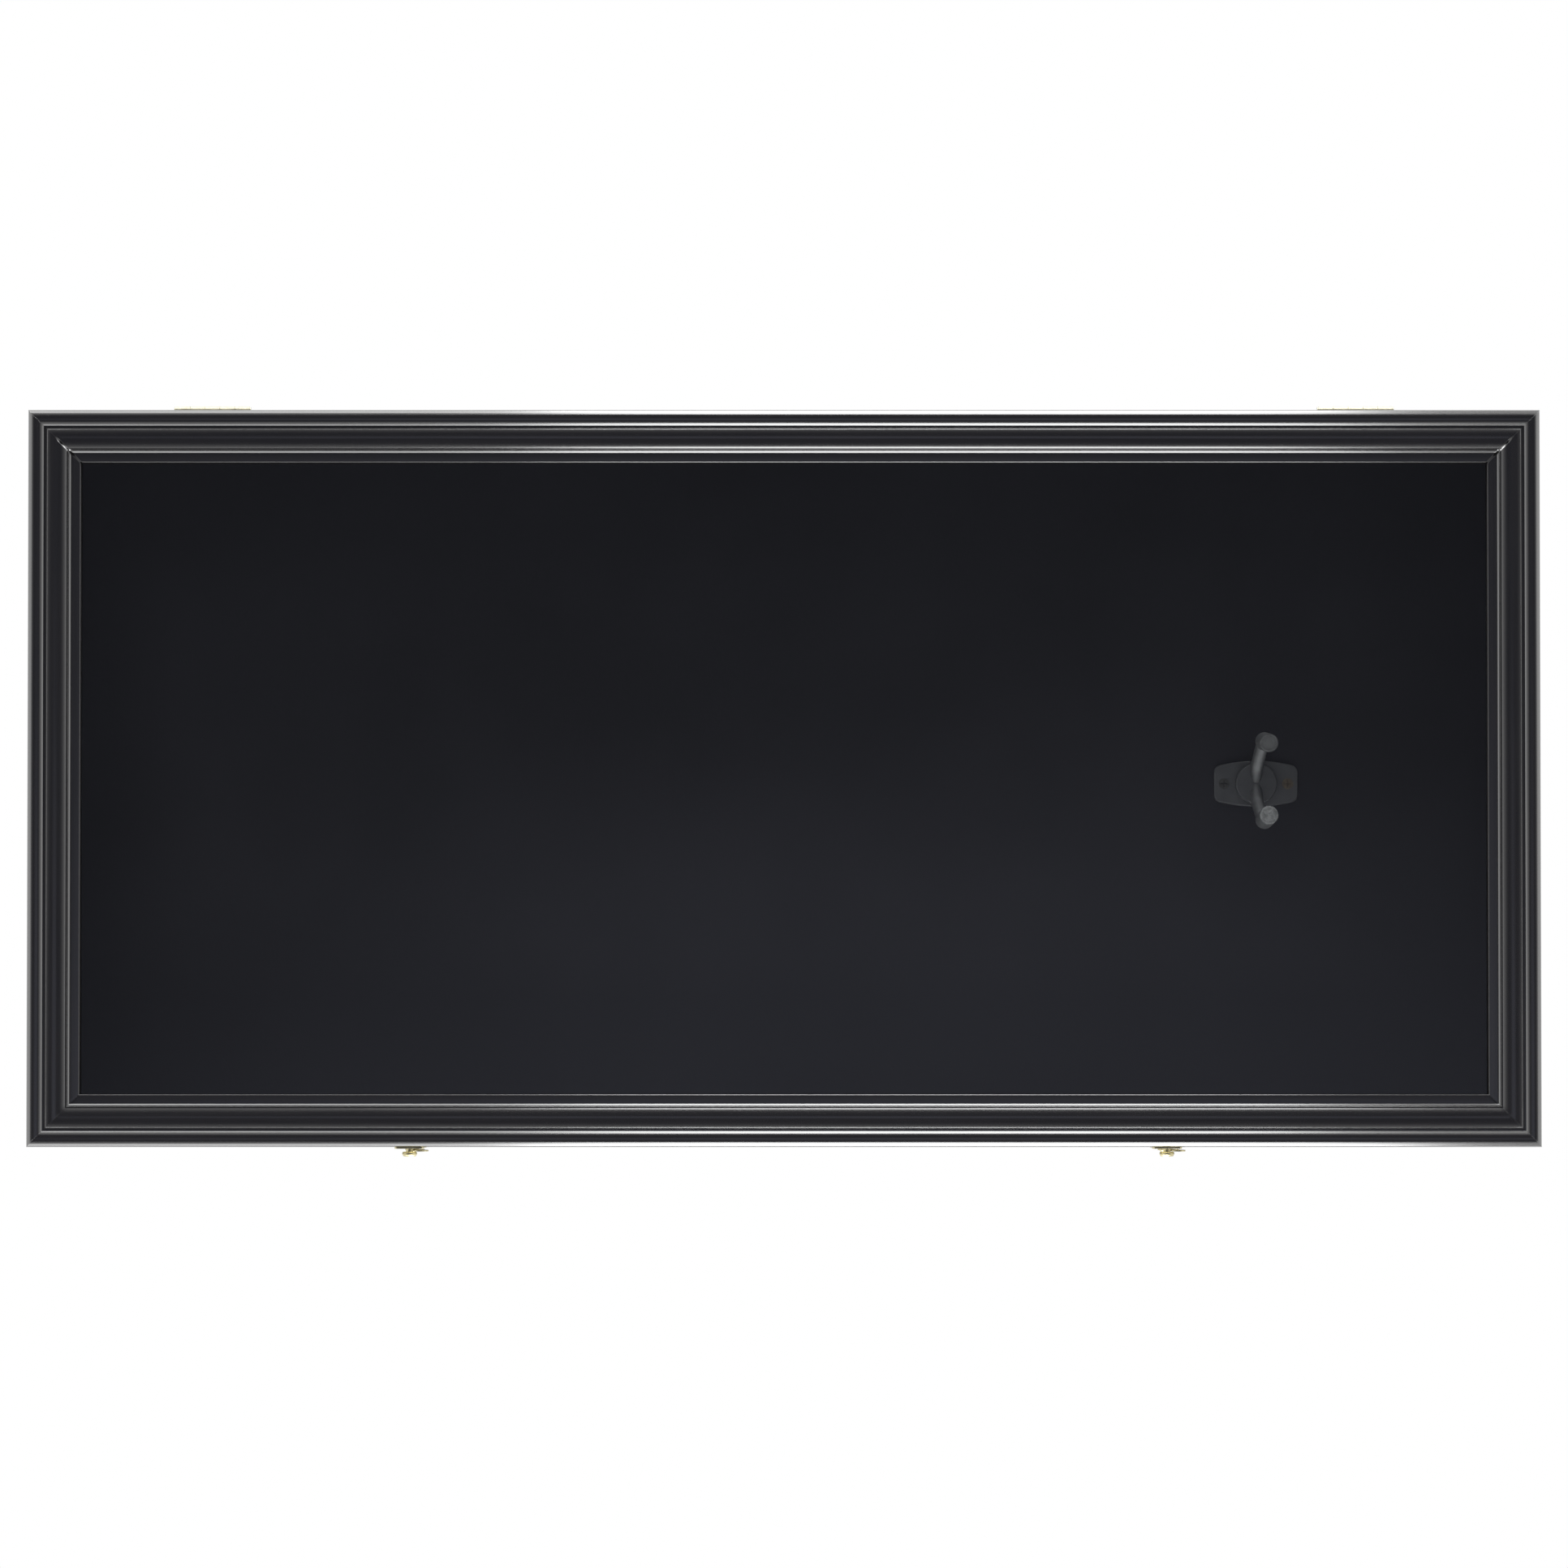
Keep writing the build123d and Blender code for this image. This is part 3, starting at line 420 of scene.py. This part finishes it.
def matte_black_wood(name, along):
    """Thin flat black paint on the strips behind the clear panel."""
    mat, tree, shader = new_material(name)
    grain = noise(tree, grain_scale(along, 300.0, 8.0), detail=4.0, rough=0.65)
    feed(tree, shader, {
        "Base Color": shades(tree, grain, FLAT_BLACK, end=0.75),
        "Roughness": spread(tree, grain, 0.42, 0.62),
        "Normal": bump(tree, grain, 0.03 * MM, soft_edges(tree, 0.3 * MM)),
    })
    return mat


def back_board():
    """Dark stained fibreboard with a fine pressed fibre."""
    mat, tree, shader = new_material("back_board")
    fibre = noise(tree, (520.0, 520.0, 130.0), detail=5.0, rough=0.7, distortion=0.8)
    cloud = noise(tree, 6.0, detail=3.0)
    stain = maths(tree, "MULTIPLY_ADD", cloud, 0.45, spread(tree, fibre, 0.0, 0.55))
    feed(tree, shader, {
        "Base Color": shades(tree, stain, FIBREBOARD, start=0.2, end=0.8),
        "Roughness": 0.82,
        "Normal": bump(tree, fibre, 0.06 * MM),
    })
    return mat


def black_felt():
    """Short black felt: matted fibre, faint clouds where the nap lies differently, and a soft sheen."""
    mat, tree, shader = new_material("black_felt")
    nap = noise(tree, 1600.0, detail=4.0, rough=0.75)
    matting = noise(tree, (260.0, 260.0, 180.0), detail=4.0, rough=0.7, distortion=1.2)
    cloud = noise(tree, 5.0, detail=2.0)
    shade = maths(tree, "MULTIPLY_ADD", matting, 0.4, spread(tree, cloud, 0.0, 0.6))
    feed(tree, shader, {
        "Base Color": shades(tree, shade, FELT_BLACK, start=0.15, end=0.85),
        "Roughness": 1.0,
        "Specular IOR Level": 0.1,
        "Sheen Weight": 0.06,
        "Sheen Roughness": 0.5,
        "Sheen Tint": FELT_SHEEN,
        "Normal": bump(tree, nap, 0.12 * MM, bump(tree, matting, 0.10 * MM)),
    })
    return mat


def clear_acrylic():
    """Clear sheet: light goes straight through, and its two faces mirror a little, more at a slant."""
    mat, tree, shader = new_material("clear_acrylic")
    tree.nodes.remove(shader)
    clear = new_node(tree, "BsdfTransparent", {"Color": PANE_TINT}).outputs[0]
    haze = spread(tree, noise(tree, 7.0, detail=3.0), 0.03, 0.06)
    mirror = new_node(tree, "BsdfGlossy", {"Roughness": haze}).outputs[0]
    slanted = new_node(tree, "Fresnel", {"IOR": BOTH_FACES_IOR}).outputs[0]
    inside = new_node(tree, "NewGeometry", {}).outputs["Backfacing"]
    share = maths(tree, "MULTIPLY_ADD", inside, -1.0, slanted, clamp=True)
    mix = new_node(tree, "MixShader", {"Fac": share, 1: clear, 2: mirror}).outputs[0]
    feed(tree, tree.nodes["Material Output"], {"Surface": mix})
    return mat


def brass(name, colours, rough):
    """Pale brass with a fine brushed surface and slightly dull patches."""
    mat, tree, shader = new_material(name)
    brush = noise(tree, (160.0, 2600.0, 2600.0), detail=3.0, rough=0.6)
    cloud = noise(tree, 160.0, detail=3.0)
    feed(tree, shader, {
        "Base Color": shades(tree, cloud, colours),
        "Metallic": 1.0,
        "Roughness": spread(tree, cloud, rough - 0.06, rough + 0.06),
        "Normal": bump(tree, brush, 0.006 * MM, soft_edges(tree, 0.18 * MM)),
    })
    return mat


def hanger_screw():
    """Cross-headed screws: the left one painted black as in shade, the right one painted brassy as though
    lit, in patches.
    """
    mat, tree, shader = new_material("hanger_screw")
    place = parts_of(tree, object_coords(tree))["X"]
    # Painted light: right of the base's middle the screw turns to lit brass in noisy patches, left of it
    # stays shaded black
    right = spread(tree, place, 0.0, 1.0, start=BASE_MIDDLE_X, end=BASE_MIDDLE_X + SCREW_FADE)
    lit_patches = spread(tree, noise(tree, 900.0, detail=4.0, rough=0.7), 0.25, 1.0)
    lit_share = maths(tree, "MULTIPLY", right, lit_patches)
    feed(tree, shader, {
        "Base Color": ramp(tree, lit_share, [(0.0, SCREW_SHADED_BLACK), (0.35, SCREW_HALF_LIT_BROWN), (1.0, SCREW_LIT_BRASS)]),
        "Metallic": 0.6,
        "Roughness": 0.45,
        "Normal": soft_edges(tree, 0.15 * MM),
    })
    return mat


def steel(name, colours, rough):
    """Plated steel, from pale zinc to a blackened finish."""
    mat, tree, shader = new_material(name)
    cloud = noise(tree, 350.0, detail=4.0, rough=0.6)
    feed(tree, shader, {
        "Base Color": shades(tree, cloud, colours),
        "Metallic": 1.0,
        "Roughness": spread(tree, cloud, rough - 0.08, rough + 0.08),
        "Normal": soft_edges(tree, 0.15 * MM),
    })
    return mat


def powder_coat(name, colours, rough):
    """Black powder coat with its fine pebbled surface."""
    mat, tree, shader = new_material(name)
    pebble = noise(tree, 1500.0, detail=2.0)
    cloud = noise(tree, 60.0, detail=3.0)
    feed(tree, shader, {
        "Base Color": shades(tree, cloud, colours),
        "Roughness": spread(tree, cloud, rough, rough + 0.10),
        "Normal": bump(tree, pebble, 0.035 * MM, soft_edges(tree, 0.35 * MM)),
    })
    return mat


def yoke_coat():
    """The yoke's powder coat, its arms painted paler than its boss as though lit, with a painted highlight
    along their middle.
    """
    mat = powder_coat("yoke_coat", (BOSS_BLACK, BOSS_BLACK), 0.34)
    tree = mat.node_tree
    forward = parts_of(tree, object_coords(tree))["Y"]
    # Forward of the boss the arms are painted paler, standing in for the light on them
    on_arm = spread(tree, forward, 1.0, 0.0, start=ARM_PALE_END, end=ARM_PALE_START)
    # Painted highlight: paler where the face is turned little along X, its strength varied by noise
    aside = maths(tree, "SUBTRACT", face_slant(tree)["X"], ARM_HIGHLIGHT_SLANT)
    away = maths(tree, "ABSOLUTE", aside)
    highlight_share = spread(tree, away, 1.0, 0.0, start=ARM_HIGHLIGHT_FULL_WITHIN, end=ARM_HIGHLIGHT_GONE_BEYOND)
    patchiness = spread(tree, noise(tree, (90.0, 40.0, 40.0), detail=3.0), 0.75, 1.0)
    middle = maths(tree, "MULTIPLY", highlight_share, patchiness)
    arm = shades(tree, middle, (ARM_SIDE_BLACK, ARM_PAINTED_HIGHLIGHT_GREY), start=0.0, end=1.0)
    colour = mixed_colour(tree, on_arm, (*BOSS_BLACK, 1.0), arm)
    feed(tree, tree.nodes["Principled BSDF"], {"Base Color": colour})
    return mat


def soft_rubber(name, colours, depth):
    """Dull black rubber or foam with a fine skin and paler rubbed places."""
    mat, tree, shader = new_material(name)
    skin = noise(tree, 1300.0, detail=3.0, rough=0.7)
    patchiness = noise(tree, 220.0, detail=5.0, rough=0.75, distortion=0.6)
    feed(tree, shader, {
        "Base Color": shades(tree, patchiness, colours, start=0.40, end=0.72),
        "Roughness": spread(tree, patchiness, 0.62, 0.82),
        "Specular IOR Level": 0.35,
        "Normal": bump(tree, skin, depth, soft_edges(tree, 0.4 * MM)),
    })
    return mat


def pale_floor():
    """The studio's plain pale floor."""
    mat, tree, shader = new_material("pale_floor")
    fleck = noise(tree, 30.0, detail=4.0)
    feed(tree, shader, {"Base Color": shades(tree, fleck, FLOOR_WHITE), "Roughness": 0.9})
    return mat


def set_material(obj, mat):
    """One material all over an object."""
    obj.data.materials.clear()
    obj.data.materials.append(mat)


def smooth_but_sharp_edges(mesh):
    """Smooth shading that keeps sharp edges, with all faces turned outwards."""
    work = bmesh.new()
    work.from_mesh(mesh)
    bmesh.ops.recalc_face_normals(work, faces=work.faces)
    limit = math.radians(SHARP_ANGLE)
    for face in work.faces:
        face.smooth = True
    for edge in work.edges:
        edge.smooth = len(edge.link_faces) == 2 and edge.calc_face_angle(math.pi) < limit
    work.to_mesh(mesh)
    work.free()


def new_piece(name, verts, faces, mat, body):
    """A mesh piece that rides on a body, smooth but for its sharp edges."""
    mesh = bpy.data.meshes.new(name)
    mesh.from_pydata([tuple(v) for v in verts], [], faces)
    mesh.validate()
    obj = link_object(name, mesh)
    smooth_but_sharp_edges(mesh)
    set_material(obj, mat)
    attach(obj, body)
    return obj


def arc(centre, radius, start, end, steps):
    """Points on an arc in a section, angles in degrees."""
    turns = [math.radians(start + (end - start) * i / steps) for i in range(steps + 1)]
    return [(centre[0] + radius * math.cos(t), centre[1] + radius * math.sin(t)) for t in turns]


def arc_through(first, middle, last, steps):
    """Points on the arc through three points that lie evenly about the middle one."""
    chord = Vector(last) - Vector(first)
    half = chord.length / 2
    centre_of_chord = (Vector(first) + Vector(last)) / 2
    rise = Vector(middle) - centre_of_chord
    radius = (half**2 + rise.length**2) / (2 * rise.length)
    centre = Vector(middle) - rise.normalized() * radius
    start = math.atan2(first[1] - centre.y, first[0] - centre.x)
    end = math.atan2(last[1] - centre.y, last[0] - centre.x)
    turn = (end - start + math.pi) % (2 * math.pi) - math.pi
    angles = [start + turn * i / steps for i in range(steps + 1)]
    return [(centre.x + radius * math.cos(t), centre.y + radius * math.sin(t)) for t in angles]


def moulding_section():
    """Closed section of a door rail: u inwards from the outer edge, h forwards from the door's back."""
    face = DOOR_THICK
    rim, groove, lip = face - COVE_DROP, face - GROOVE_DEPTH, face - LIP_DROP
    slope_middle = (
        BEAD_WIDTH - BEAD_ROUND * math.sin(math.radians(BEAD_SLOPE_END)),
        face - BEAD_ROUND * math.cos(math.radians(BEAD_SLOPE_START)),
    )
    groove_end = BEAD_WIDTH + GROOVE_WIDTH
    cove_start = groove_end + ARRIS_WIDTH
    cove_end = cove_start + COVE_WIDTH
    quirk, quirk_end = rim - QUIRK_DEPTH, cove_end + QUIRK_WIDTH
    inner_end = quirk_end + INNER_BEAD_WIDTH
    half = INNER_BEAD_WIDTH / 2
    crest = (quirk_end + half, rim + half - INNER_BEAD_ROUND * math.sqrt(2))
    cove_floor = ((cove_start + cove_end) / 2, rim - COVE_DEPTH)
    arris_top = ((groove_end + cove_start) / 2, rim + ARRIS_RISE)
    points = [(0.0, 0.0)]
    points += arc((EDGE_ROUND, face - EDGE_ROUND), EDGE_ROUND, 180, 90, EDGE_STEPS)
    points += arc(slope_middle, BEAD_ROUND, 90 - BEAD_SLOPE_START, 90 - BEAD_SLOPE_END, BEAD_STEPS)
    points += [(BEAD_WIDTH, groove), (groove_end, groove)]
    points += arc_through((groove_end, rim), arris_top, (cove_start, rim), ARRIS_STEPS)
    points += arc_through((cove_start, rim), cove_floor, (cove_end, rim), COVE_STEPS)[1:]
    points += [(cove_end, quirk), (quirk_end, quirk), (quirk_end, rim)]
    points += arc(crest, INNER_BEAD_ROUND, 135, 45, SMALL_STEPS)
    points += [(inner_end, rim), (inner_end, lip)]
    points += arc((RAIL_WIDTH - LIP_ROUND, lip - LIP_ROUND), LIP_ROUND, 90, 0, SMALL_STEPS)
    points += [(RAIL_WIDTH, REBATE_DEPTH), (RAIL_WIDTH - REBATE_WIDTH, REBATE_DEPTH)]
    points += [(RAIL_WIDTH - REBATE_WIDTH, 0.0)]
    return points


def shrunk(points, by):
    """A section's outline moved inwards along its own normals, which eases an edge."""
    out = []
    for i, (u, h) in enumerate(points):
        before, after = points[i - 1], points[(i + 1) % len(points)]
        way = Vector((after[0] - before[0], after[1] - before[1]))
        inward = Vector((way.y, -way.x)).normalized()
        out.append((u + by * inward.x, h + by * inward.y))
    return out


def mitre_opening(u):
    """How far a mitre has opened at a distance from the door's outer edge."""
    if u > MITRE_INNER_START:
        return MITRE_INNER_SHARE
    return min(1.0, max(0.0, (u - MITRE_SHUT_TO) / (MITRE_OPEN_FROM - MITRE_SHUT_TO)))


def corner_share(side, end):
    """How open the mitre is at one end of a rail: the top corners have opened more."""
    if side in MITRE_SHARE:
        return MITRE_SHARE[side]
    down = SIDE_FRAMES[side][1].z * end < 0
    return MITRE_SHARE["bottom" if down else "top"]


def rail_rings():
    """Rings along a rail: which end, distance from its mitre, share eased, place between the ends."""
    first = [(-1, gap, ease, 1.0) for gap, ease in MITRE_RINGS]
    inner_gap = MITRE_RINGS[-1][0]
    between = [(0, inner_gap, 0.0, 2 * i / MIDDLE_RINGS - 1) for i in range(1, MIDDLE_RINGS)]
    last = [(1, gap, ease, 1.0) for gap, ease in reversed(MITRE_RINGS)]
    return first + between + last


def tube_faces(rings, count):
    """Faces between rings of a closed outline with so many points, and a cap on both ends."""
    faces = []
    for r in range(rings - 1):
        for i in range(count):
            j = (i + 1) % count
            faces.append((r * count + i, r * count + j, (r + 1) * count + j, (r + 1) * count + i))
    faces.append(tuple(range(count)))
    faces.append(tuple(range((rings - 1) * count, rings * count))[::-1])
    return faces


def moulded_rail(side, mat):
    """One rail of the door, its mitred ends eased so that the joint shows as a fine line."""
    start, along, inwards, half = SIDE_FRAMES[side]
    section = moulding_section()
    eased = shrunk(section, MITRE_EASE)
    rings = rail_rings()
    verts = []
    for end, gap, ease, place in rings:
        for (u0, h0), (u1, h1) in zip(section, eased):
            share = ease * mitre_opening(u0) * (corner_share(side, end) if end else 0.0)
            u, h = u0 + share * (u1 - u0), h0 + share * (h1 - h0)
            reach = half - u0 - gap
            s = reach * (end if end else place)
            verts.append(start + along * s + inwards * u + Vector((0, DOOR_BACK_Y - h, 0)))
    kind = "rail" if side in ("top", "bottom") else "stile"
    faces = tube_faces(len(rings), len(section))
    rail = new_piece(f"moulded_{side}_{kind}", verts, faces, mat, "door")
    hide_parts(f"door_{side}_{kind}")
    return rail


def cutter_object(work):
    """An object made of a bmesh, for one boolean cut."""
    mesh = bpy.data.meshes.new("cutter")
    work.to_mesh(mesh)
    work.free()
    return link_object("cutter", mesh)


def box_cutter(size, place):
    """A plain box mesh that cuts a seat."""
    work = bmesh.new()
    bmesh.ops.create_cube(work, size=1.0, matrix=Matrix.Translation(place) @ Matrix.Diagonal((*size, 1.0)))
    return cutter_object(work)


def rod_cutter(radius, length, place):
    """A plain round bar along X that cuts a channel."""
    work = bmesh.new()
    turn = Matrix.Translation(place) @ Matrix.Rotation(math.pi / 2, 4, "Y")
    ends = {"radius1": radius, "radius2": radius, "cap_ends": True}
    bmesh.ops.create_cone(work, segments=ROD_SIDES, depth=length, matrix=turn, **ends)
    return cutter_object(work)


def cut_away(piece, cutters):
    """The cutters' shapes taken out of a piece, for good."""
    for cutter in cutters:
        modifier = piece.modifiers.new("cut", "BOOLEAN")
        modifier.operation = "DIFFERENCE"
        modifier.solver = "EXACT"
        modifier.object = cutter
    bpy.context.view_layer.update()
    ready = piece.evaluated_get(bpy.context.evaluated_depsgraph_get())
    mesh = bpy.data.meshes.new_from_object(ready)
    piece.modifiers.clear()
    piece.data = mesh
    for cutter in cutters:
        bpy.data.objects.remove(cutter)
    smooth_but_sharp_edges(mesh)


def seat_hinges(rail):
    """Seats for the door's hinge leaves and room for their knuckles, cut in the top rail."""
    cutters = []
    for side in ("left", "right"):
        leaf_low, leaf_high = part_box(f"hinge_{side}_door_leaf")
        pin_low, pin_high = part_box(f"hinge_{side}_pin")
        axis = (pin_low + pin_high) / 2
        low = Vector((leaf_low.x, leaf_low.y, HALF_HEIGHT - LEAF_THICK)) - SEAT_PLAY
        high = Vector((leaf_high.x, DOOR_BACK_Y + CUT_PAST, HALF_HEIGHT + CUT_PAST)) + SEAT_PLAY
        cutters.append(box_cutter(high - low, (low + high) / 2))
        cutters.append(rod_cutter(KNUCKLE_ROOM, pin_high.x - pin_low.x + 2 * KNUCKLE_END_ROOM, axis))
    cut_away(rail, cutters)


def stage_floor():
    """A pale floor below the case, which hangs above it."""
    corners = [
        (-FLOOR_REACH, -FLOOR_REACH, FLOOR_HEIGHT),
        (FLOOR_REACH, -FLOOR_REACH, FLOOR_HEIGHT),
        (FLOOR_REACH, FLOOR_BACK, FLOOR_HEIGHT),
        (-FLOOR_REACH, FLOOR_BACK, FLOOR_HEIGHT),
    ]
    mesh = bpy.data.meshes.new("studio_floor")
    mesh.from_pydata(corners, [], [(0, 1, 2, 3)])
    floor = link_object("studio_floor", mesh)
    set_material(floor, pale_floor())
    floor.visible_glossy = False


def special_materials(wood_x, wood_z):
    """The material of each CAD node that isn't brass."""
    strip_x = matte_black_wood("flat_black_along_x", 0)
    strip_z = matte_black_wood("flat_black_along_z", 2)
    zinc = steel("zinc_plate", ZINC, 0.34)
    sleeve = soft_rubber("sleeve_rubber", SLEEVE_BLACK, 0.05 * MM)
    groups = [
        (wood_x, ["box_top_board", "box_bottom_board", "door_top_rail", "door_bottom_rail"]),
        (wood_z, ["box_left_board", "box_right_board", "door_left_stile", "door_right_stile"]),
        (strip_x, ["glazing_strip_top", "glazing_strip_bottom"]),
        (strip_z, ["glazing_strip_left", "glazing_strip_right"]),
        (back_board(), ["back_panel"]),
        (black_felt(), ["felt_lining"]),
        (clear_acrylic(), ["clear_panel"]),
        (soft_rubber("bumper_rubber", BUMPER_GREY, 0.03 * MM), ["door_bumpers"]),
        (steel("blackened_steel", BLACKENED_STEEL, 0.42), ["back_panel_screws"]),
        (zinc, ["keyhole_plate_left", "keyhole_plate_right", "keyhole_screws", "glazing_pins"]),
        (hanger_screw(), ["hanger_screws"]),
        (powder_coat("base_coat", BASE_BLACK, 0.36), ["hanger_base"]),
        (yoke_coat(), ["hanger_yoke"]),
        (sleeve, ["hanger_sleeve_upper", "hanger_sleeve_lower"]),
        (soft_rubber("cap_rubber", CAP_BLACK, 0.04 * MM), ["hanger_cap_upper"]),
        # The lower cap: the same rubber as the upper one, painted paler for dust and a painted highlight
        (soft_rubber("cap_dust_and_highlight", CAP_DUST_AND_HIGHLIGHT, 0.05 * MM), ["hanger_cap_lower"]),
    ]
    return {name: mat for mat, names in groups for name in names}


def dress_cad_nodes(wood_x, wood_z):
    """A material on each CAD node: the hinges and latches are brass, and the others have their own."""
    special = special_materials(wood_x, wood_z)
    latch_brass = brass("latch_brass", LATCH_BRASS, 0.36)
    hinge_brass = brass("hinge_brass", HINGE_BRASS, 0.52)
    for name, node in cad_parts.items():
        plated = hinge_brass if name.startswith("hinge_") else latch_brass
        set_material(node, special.get(name, plated))


def door_frame(wood_x, wood_z):
    """The door's four moulded rails, the top one cut for the hinges."""
    moulded_rail("bottom", wood_x)
    moulded_rail("left", wood_z)
    moulded_rail("right", wood_z)
    seat_hinges(moulded_rail("top", wood_x))


bpy.context.scene.view_settings.view_transform = "Standard"
set_camera()
set_world()
set_lights()
stage_floor()

lacquer_x = satin_black_wood("lacquer_along_x", 0)
lacquer_z = satin_black_wood("lacquer_along_z", 2)
dress_cad_nodes(lacquer_x, lacquer_z)
door_frame(lacquer_x, lacquer_z)
